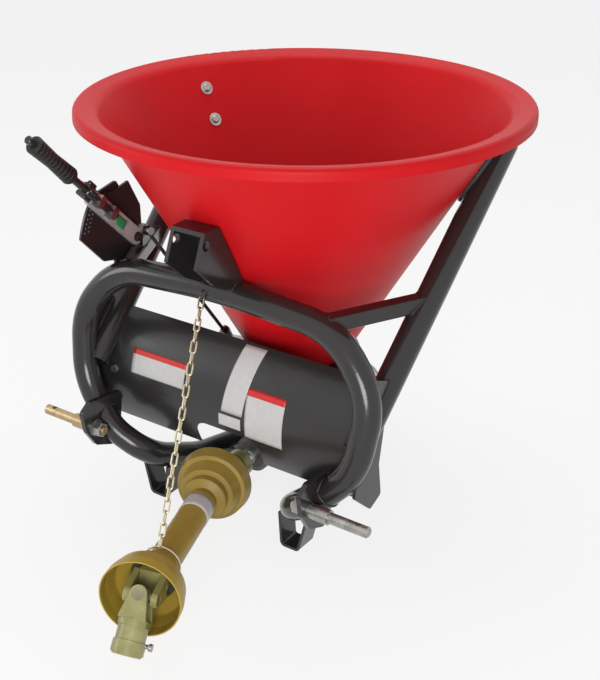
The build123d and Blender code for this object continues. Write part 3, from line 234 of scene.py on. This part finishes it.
def ribbed_rubber():
    finish = Finish("ribbed_rubber", Specular_IOR_Level=0.35)
    cloud = finish.noise(38.0, 3.0)
    ribs = (finish.along(LEVER, LEVER_PIVOT) * (2 * math.pi / 0.0105)).sine()
    finish.set(Base_Color=finish.mix(cloud, (0.010, 0.0095, 0.009), (0.022, 0.020, 0.019)),
               Roughness=cloud * 0.15 + 0.48)
    finish.bump(ribs + finish.noise(600.0) * 0.15, 0.0011, 0.9)
    return finish


def cast_grey():
    finish = Finish("cast_grey", Metallic=0.25, Specular_IOR_Level=0.4)
    grain = finish.noise(480.0, 5.0)
    cloud = finish.noise(18.0, 3.0)
    finish.set(Base_Color=finish.mix(cloud, (0.105, 0.108, 0.11), (0.16, 0.165, 0.17)),
               Roughness=grain * 0.25 + 0.42)
    finish.bump(grain, 0.0005, 0.8)
    return finish


def turned_steel(name, tone, tint, metal=1.0):
    finish = Finish(name, Metallic=metal)
    lines = finish.noise(1500.0, 2.0)
    haze = finish.noise(30.0, 4.0)
    finish.set(Base_Color=finish.mix(haze.ramped(0.35, 0.65), tone, tint),
               Roughness=lines * 0.2 + haze * 0.16 + 0.16)
    finish.bump(lines, 0.00008, 0.4)
    return finish


def dark_nylon():
    finish = Finish("dark_nylon", Specular_IOR_Level=0.5)
    cloud = finish.noise(90.0, 3.0)
    finish.set(Base_Color=finish.mix(cloud, (0.030, 0.029, 0.026), (0.055, 0.052, 0.047)),
               Roughness=cloud * 0.1 + 0.35)
    finish.bump(finish.noise(800.0), 0.0001, 0.4)
    return finish


RED = moulded_red()
BLACK = gloss_black()
SHEET_BLACK = gloss_black("sheet_black", 0.024, 0.24)
ZINC = plated("zinc", (0.28, 0.275, 0.26), (0.47, 0.465, 0.44))
YELLOW_ZINC = plated("yellow_zinc", (0.36, 0.26, 0.14), (0.52, 0.40, 0.24), 0.28)
CHAIN = plated("chain_brass", (0.50, 0.44, 0.29), (0.70, 0.64, 0.48), 0.22)
REAR_YELLOW = moulded_yellow("rear_guard_yellow", (0.34, 0.23, 0.042), (0.26, 0.17, 0.026))
FRONT_YELLOW = moulded_yellow("front_guard_yellow", (0.44, 0.31, 0.048), (0.36, 0.24, 0.031))
YOKE_YELLOW = enamel("yoke_yellow", (0.34, 0.325, 0.13), (0.22, 0.205, 0.065))
RUBBER = ribbed_rubber()
CASTING = cast_grey()
GREY_BAR = turned_steel("grey_bar", (0.34, 0.35, 0.35), (0.50, 0.51, 0.505), 0.15)
STEEL = turned_steel("bare_steel", (0.45, 0.45, 0.45), (0.62, 0.61, 0.60))
CROSS_STEEL = turned_steel("cross_steel", (0.20, 0.185, 0.11), (0.32, 0.30, 0.19), 0.6)
NYLON = dark_nylon()

RED.on("hopper")
BLACK.on("front_hoop", "base_loop", "side_tube_left", "side_tube_right", "braces", "gussets", "lug_plates",
         "feet", "top_clevis", "hopper_brackets", "cross_bar", "gearbox_mount", "floor_plate", "gate_rails",
         "quadrant", "lever_bracket", "chain_eye", "shield_brackets", "lever_rod", "pivot_bolt", "lock_knob",
         "link_rod")
SHEET_BLACK.on("shield")
ZINC.on("lower_pin_right", "hopper_bolts", "frame_bolts", "pin_nuts", "rod_clamp", "lock_pin", "gate",
        "spinner_bolts", "agitator")
YELLOW_ZINC.on("lower_pin_left")
CHAIN.on("chain", "chain_clip")
REAR_YELLOW.on("rear_guard")
FRONT_YELLOW.on("front_guard")
YOKE_YELLOW.on("front_yoke", "inner_yoke_front", "inner_yoke_rear", "rear_yoke")
RUBBER.on("grip")
GREY_BAR.on("lever_bar")
CASTING.on("gearbox_housing", "gearbox_cover")
STEEL.on("bearings", "crown_gear", "pinion_gear", "input_shaft", "output_shaft", "inner_bar", "outer_sleeve",
         "spinner_disc", "spinner_fins")
CROSS_STEEL.on("front_cross", "rear_cross")
NYLON.on("guard_ring_front", "guard_ring_rear", "shaft_seals")


# Pieces made here

def new_piece(name, mesh_maker, finish, body):
    data = bpy.data.meshes.new(name)
    mesh_maker(data)
    piece = bpy.data.objects.new(name, data)
    scene.collection.objects.link(piece)
    data.materials.append(finish.material)
    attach(piece, body)
    return piece


def skin(outer, inner, columns, rows):
    """Closes a thin sheet: outer and inner give a point for each share across and up it."""
    def make(data):
        sheet = bmesh.new()
        across = sheet.loops.layers.uv.new("UVMap")
        sides = []
        for surface in (outer, inner):
            sides.append([[sheet.verts.new(surface(c / columns, r / rows)) for c in range(columns + 1)]
                          for r in range(rows + 1)])
        top, low = sides
        shares = {}
        for side in sides:
            for r, row in enumerate(side):
                for c, vert in enumerate(row):
                    shares[vert] = (c / columns, r / rows)
        for r in range(rows):
            for c in range(columns):
                sheet.faces.new((top[r][c], top[r][c + 1], top[r + 1][c + 1], top[r + 1][c])).smooth = True
                sheet.faces.new((low[r][c], low[r + 1][c], low[r + 1][c + 1], low[r][c + 1])).smooth = True
        for r in range(rows):
            sheet.faces.new((top[r][0], top[r + 1][0], low[r + 1][0], low[r][0]))
            sheet.faces.new((top[r][columns], low[r][columns], low[r + 1][columns], top[r + 1][columns]))
        for c in range(columns):
            sheet.faces.new((top[0][c], low[0][c], low[0][c + 1], top[0][c + 1]))
            sheet.faces.new((top[rows][c], top[rows][c + 1], low[rows][c + 1], low[rows][c]))
        for face in sheet.faces:
            for loop in face.loops:
                loop[across].uv = shares[loop.vert]
        bmesh.ops.recalc_face_normals(sheet, faces=sheet.faces)
        sheet.to_mesh(data)
        sheet.free()
    return make


def printed_label(name, band=0.0, tone=(0.60, 0.60, 0.59)):
    """Plain sticker: pale film, with a plain band of red along its top where band says how much."""
    finish = Finish(name, Specular_IOR_Level=0.5)
    right, up = finish.flat_axes()
    cloud = finish.noise(70.0, 3.0)
    paper = finish.mix(cloud.ramped(0.3, 0.7), tone, tuple(0.93 * part for part in tone))
    edge = ((right - 0.5) * (right - 0.5) > 0.235) + ((up - 0.5) * (up - 0.5) > 0.235)
    paper = finish.mix(edge.limited() * 0.35, paper, (0.42, 0.40, 0.38))
    if band:
        paper = finish.mix(up > 1 - band, paper, (0.62, 0.020, 0.018))
    finish.set(Base_Color=paper, Roughness=cloud * 0.15 + 0.32)
    finish.bump(cloud + finish.noise(420.0) * 0.4, 0.0003, 0.4)
    return finish


def shield_label(name, low_x, high_x, low_turn, high_turn, finish, slant=0.0):
    def at(radius):
        def point(across, up):
            turn = math.radians(low_turn + (high_turn - low_turn) * up)
            x = low_x + (high_x - low_x) * across + slant * (up - 0.5)
            return Vector((x * MM, SHIELD_Y - radius * math.cos(turn), SHIELD_Z + radius * math.sin(turn)))
        return point
    sheet = skin(at(SHIELD_R + FILM_TOP), at(SHIELD_R + FILM_UNDER), 16, 14)
    new_piece(name, sheet, finish, "frame")


LABEL_WIDE = printed_label("label_wide", 0.22)
LABEL_TALL = printed_label("label_tall", 0.14)
LABEL_PLAIN = printed_label("label_plain")
shield_label("shield_label_left", -251, -110, 9.5, 26, LABEL_WIDE)
shield_label("shield_label_strip", -2, 50, 4.5, 50, LABEL_PLAIN, 18)
shield_label("shield_label_foot", -17, 38, -5.5, 2.5, LABEL_PLAIN)
shield_label("shield_label_right", 48, 139, -8.5, 24.5, LABEL_TALL)


def guard_label():
    """Plain sticker wrapped most of the way round the guard tube."""
    side = SHAFT.cross(Vector((0, 0, 1))).normalized()
    top = side.cross(SHAFT)

    def at(radius):
        def point(across, up):
            turn = math.radians(-150 + 300 * across)
            out = top * math.cos(turn) + side * math.sin(turn)
            return REAR_JOINT + SHAFT * (0.118 + 0.048 * up) + out * radius
        return point
    sheet = skin(at(GUARD_R + 0.0006), at(GUARD_R + FILM_UNDER), 40, 4)
    new_piece("guard_label", sheet, LABEL_PLAIN, "driveline_front")


def lever_patch():
    """Green sticker on the lever's flat bar."""
    green = Finish("patch_green", Specular_IOR_Level=0.5)
    cloud = green.noise(90.0, 3.0)
    green.set(Base_Color=green.mix(cloud, (0.015, 0.24, 0.07), (0.03, 0.34, 0.11)),
              Roughness=cloud * 0.2 + 0.3)
    green.bump(cloud, 0.0002, 0.4)
    rise = Vector((0, LEVER.z, -LEVER.y))

    def at(out):
        def point(across, up):
            along = LEVER * (0.048 + 0.032 * across) + rise * (0.020 * up - 0.010)
            return LEVER_PIVOT + along + Vector((LEVER_FACE - LEVER_PIVOT.x + out, 0, 0))
        return point
    new_piece("lever_patch", skin(at(FILM_TOP), at(FILM_UNDER), 6, 3), green, "lever")


def seam_edges(plate, tube):
    """Sharp edges of one node that lie on another, as pairs of points."""
    solid = bmesh.new()
    solid.from_mesh(nodes[plate].data)
    bmesh.ops.remove_doubles(solid, verts=solid.verts, dist=0.00001)
    other = nodes[tube].data
    surface = BVHTree.FromPolygons([v.co for v in other.vertices], [p.vertices for p in other.polygons])
    reach = 0.0007
    near = {}
    for vert in solid.verts:
        near[vert.index] = surface.find_nearest(vert.co, reach)[0] is not None
    pairs = []
    for edge in solid.edges:
        if len(edge.link_faces) == 2 and edge.calc_face_angle() < math.radians(22):
            continue
        first, last = edge.verts
        middle = (first.co + last.co) / 2
        if near[first.index] and near[last.index] and surface.find_nearest(middle, reach)[0]:
            pairs.append((first.co.copy(), last.co.copy()))
    solid.free()
    return pairs


def strung(pairs):
    """Joins edges end to end into runs of points."""
    def key(point):
        return tuple(round(part * 20000) for part in point)
    at = {}
    for number, pair in enumerate(pairs):
        for point in pair:
            at.setdefault(key(point), []).append(number)
    spare = set(range(len(pairs)))
    runs = []
    while spare:
        number = spare.pop()
        run = list(pairs[number])
        for end in (1, 0):
            while True:
                tip = run[-1] if end else run[0]
                step = [n for n in at[key(tip)] if n in spare]
                if not step:
                    break
                spare.discard(step[0])
                first, last = pairs[step[0]]
                onward = last if key(first) == key(tip) else first
                if end:
                    run.append(onward)
                else:
                    run.insert(0, onward)
        runs.append(run)
    return runs


def evenly(run, gap):
    """The run's points again, a gap apart."""
    points = [run[0]]
    spare = gap
    for first, last in zip(run, run[1:]):
        length = (last - first).length
        while length > 0 and spare <= length:
            points.append(first.lerp(last, spare / length))
            spare += gap
        spare -= length
    return points


def bead_tube(bead, points, radius, ripple):
    """Round bead along the points, swelling and sinking once a ripple."""
    sides = 8
    gap = (points[1] - points[0]).length
    normal = (points[1] - points[0]).orthogonal().normalized()
    rings = []
    for number, point in enumerate(points):
        ahead = points[min(number + 1, len(points) - 1)] - points[max(number - 1, 0)]
        ahead.normalize()
        normal = (normal - ahead * normal.dot(ahead)).normalized()
        side = ahead.cross(normal)
        swell = radius * (0.92 + 0.16 * math.cos(2 * math.pi * number * gap / ripple))
        if number in (0, len(points) - 1):
            swell *= 0.55
        rings.append([bead.verts.new(point + (normal * math.cos(turn) + side * math.sin(turn)) * swell)
                      for turn in (2 * math.pi * k / sides for k in range(sides))])
    for low, high in zip(rings, rings[1:]):
        for k in range(sides):
            bead.faces.new((low[k], low[(k + 1) % sides], high[(k + 1) % sides], high[k])).smooth = True
    bead.faces.new(rings[0][::-1])
    bead.faces.new(rings[-1])


def weld_seam(plate, tube, radius=0.0024):
    """Bead of weld where one node meets another."""
    runs = [run for run in strung(seam_edges(plate, tube))
            if sum((b - a).length for a, b in zip(run, run[1:])) > 0.012]
    if not runs:
        print("no seam between", plate, tube)
        return

    def make(data):
        bead = bmesh.new()
        for run in runs:
            points = evenly(run, 0.0013)
            if len(points) > 4:
                bead_tube(bead, points, radius, 0.0042)
        bmesh.ops.recalc_face_normals(bead, faces=bead.faces)
        bead.to_mesh(data)
        bead.free()
    new_piece("weld_" + plate + "_" + tube, make, BLACK, "frame")


guard_label()
lever_patch()
for tube, plates in (("front_hoop", ("lug_plates", "top_clevis", "gussets", "braces", "shield_brackets",
                                     "side_tube_left", "side_tube_right", "quadrant", "lever_bracket",
                                     "cross_bar", "base_loop")),
                     ("side_tube_left", ("gussets", "braces", "hopper_brackets")),
                     ("side_tube_right", ("gussets", "braces", "hopper_brackets")),
                     ("base_loop", ("feet", "gearbox_mount"))):
    for plate in plates:
        weld_seam(plate, tube)


# Camera, light and floor

CAMERA_AT = (1.2695, -1.7356, 1.4114)
CAMERA_TURN = (36.687, 31.313, -0.621)   # about the upright, down, and about its own line, in degrees


def set_camera():
    yaw, pitch, roll = (math.radians(angle) for angle in CAMERA_TURN)
    forward = Vector((-math.sin(yaw) * math.cos(pitch), math.cos(yaw) * math.cos(pitch), -math.sin(pitch)))
    right = Vector((math.cos(yaw), math.sin(yaw), 0))
    up = right.cross(forward)
    level = right * math.cos(roll) + up * math.sin(roll)
    upright = up * math.cos(roll) - right * math.sin(roll)
    lens = bpy.data.cameras.new("camera")
    lens.sensor_fit = "HORIZONTAL"
    lens.sensor_width = 36
    lens.lens = 70.716
    lens.shift_x = 0.1
    lens.shift_y = 0.2
    lens.clip_end = 50
    camera = bpy.data.objects.new("camera", lens)
    camera.matrix_world = Matrix([(level[axis], upright[axis], -forward[axis], CAMERA_AT[axis])
                                  for axis in range(3)] + [(0, 0, 0, 1)])
    scene.collection.objects.link(camera)
    scene.camera = camera


def soft_lamp(name, place, target, width, power):
    light = bpy.data.lights.new(name, "AREA")
    light.shape = "DISK"
    light.size = width
    light.energy = power
    lamp = bpy.data.objects.new(name, light)
    lamp.location = place
    lamp.rotation_euler = (Vector(target) - Vector(place)).to_track_quat("-Z", "Y").to_euler()
    scene.collection.objects.link(lamp)


class Surround(Finish):
    """The world behind everything, fed as a finish is."""

    def __init__(self, name):
        self.world = bpy.data.worlds.new(name)
        self.world.use_nodes = True
        self.tree = self.world.node_tree
        self.shader = self.tree.nodes["Background"]


def white_surround():
    """White to the camera and in reflections, with plain light on the object."""
    surround = Surround("surround")
    scene.world = surround.world
    surround.set(Color=(1, 1, 1), Strength=0.38)
    white = surround.add("ShaderNodeBackground", {}, (1, 1, 1), 1.0)
    plain = Signal(surround, surround.shader.outputs[0])
    either = surround.add("ShaderNodeMixShader", {}, surround.shown(), plain, white)
    surround.feed(surround.tree.nodes["World Output"].inputs[0], either)


def pale_floor():
    data = bpy.data.meshes.new("floor")
    half = 12.0
    corners = [(-half, -half, 0), (half, -half, 0), (half, half, 0), (-half, half, 0)]
    data.from_pydata(corners, [], [(0, 1, 2, 3)])
    floor = bpy.data.objects.new("floor", data)
    scene.collection.objects.link(floor)
    paper = Finish("floor_paper", Base_Color=(0.88, 0.88, 0.88), Roughness=0.9, Specular_IOR_Level=0.1)
    glow = paper.add("ShaderNodeEmission", {}, (1, 1, 1), 1.0)
    lit = Signal(paper, paper.shader.outputs[0])
    blend = paper.add("ShaderNodeMixShader", {}, paper.shown() * 0.82, lit, glow)
    paper.feed(paper.tree.nodes["Material Output"].inputs[0], blend)
    data.materials.append(paper.material)


set_camera()
scene.view_settings.view_transform = "Standard"
white_surround()
pale_floor()
soft_lamp("key", (1.5, -2.5, 1.1), (0, 0.1, 0.45), 1.3, 48)
soft_lamp("fill", (-2.4, -1.7, 1.3), (0, 0.1, 0.4), 1.3, 16)
soft_lamp("top", (-0.5, 0.9, 3.2), (0, 0.1, 0.3), 1.8, 32)
